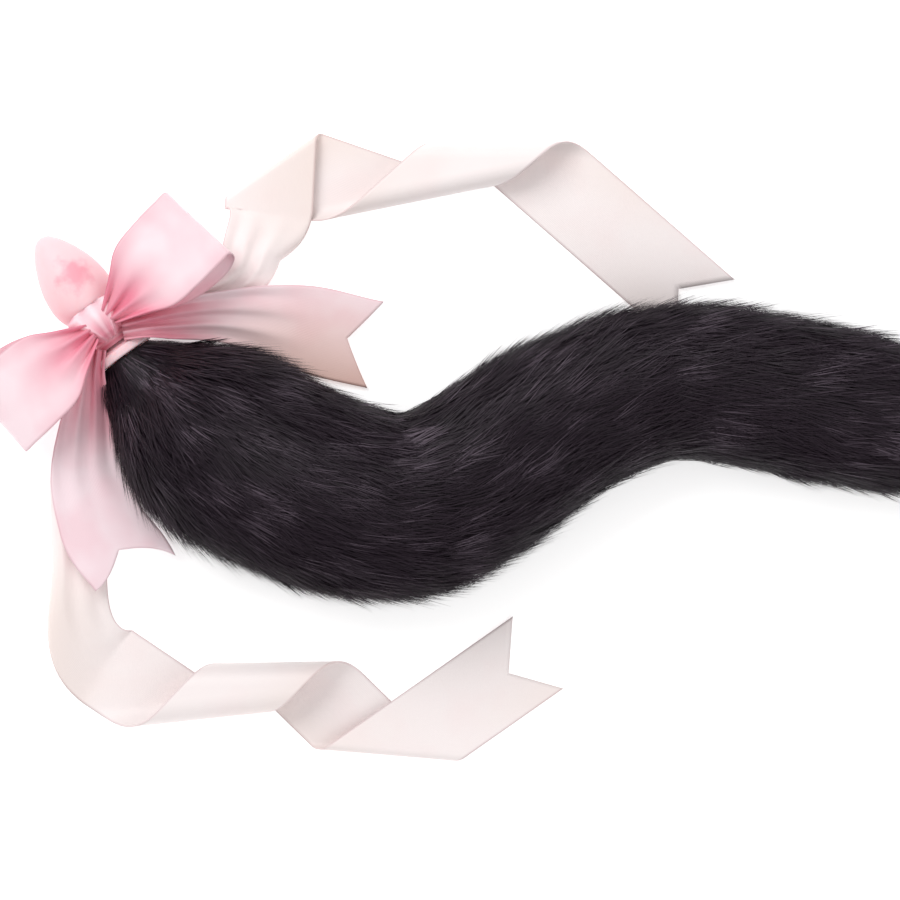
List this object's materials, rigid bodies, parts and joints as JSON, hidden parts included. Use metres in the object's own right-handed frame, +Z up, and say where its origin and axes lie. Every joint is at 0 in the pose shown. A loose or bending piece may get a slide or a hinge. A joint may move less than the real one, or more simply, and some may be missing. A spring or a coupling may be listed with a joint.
{
  "type": "cat tail plug with ribbon bow",
  "caption": "Faux-fur cat tail on a tapered silicone plug with a flared base, tied with a satin ribbon bow and long streamers.",
  "frame": {"origin": "on the floor, under the middle of the bounding box of the object as it lies", "axes": "+X along the tail from the plug to the tip, +Z up, +Y to the upper streamer's side"},
  "size_m": [0.4744, 0.2706, 0.0591],
  "materials": {
    "silicone": "soft pink silicone, satin smooth, with a deeper pink blush on the bulb",
    "bow_satin": "pale pink polyester satin with a soft sheen and woven selvedges",
    "streamer_satin": "cream pink polyester satin with a soft sheen and woven selvedges",
    "fur": "long black acrylic faux fur, combed towards the tip"
  },
  "bodies": {
    "root": {"plug": "silicone", "neck_wrap": "bow_satin", "bow_knot": "bow_satin", "bow_loop_right": "bow_satin", "bow_loop_left": "bow_satin", "bow_end_right": "bow_satin", "bow_end_left": "bow_satin", "streamer_upper": "streamer_satin", "streamer_lower": "streamer_satin", "fur_tail": "fur"}
  },
  "joints": []
}
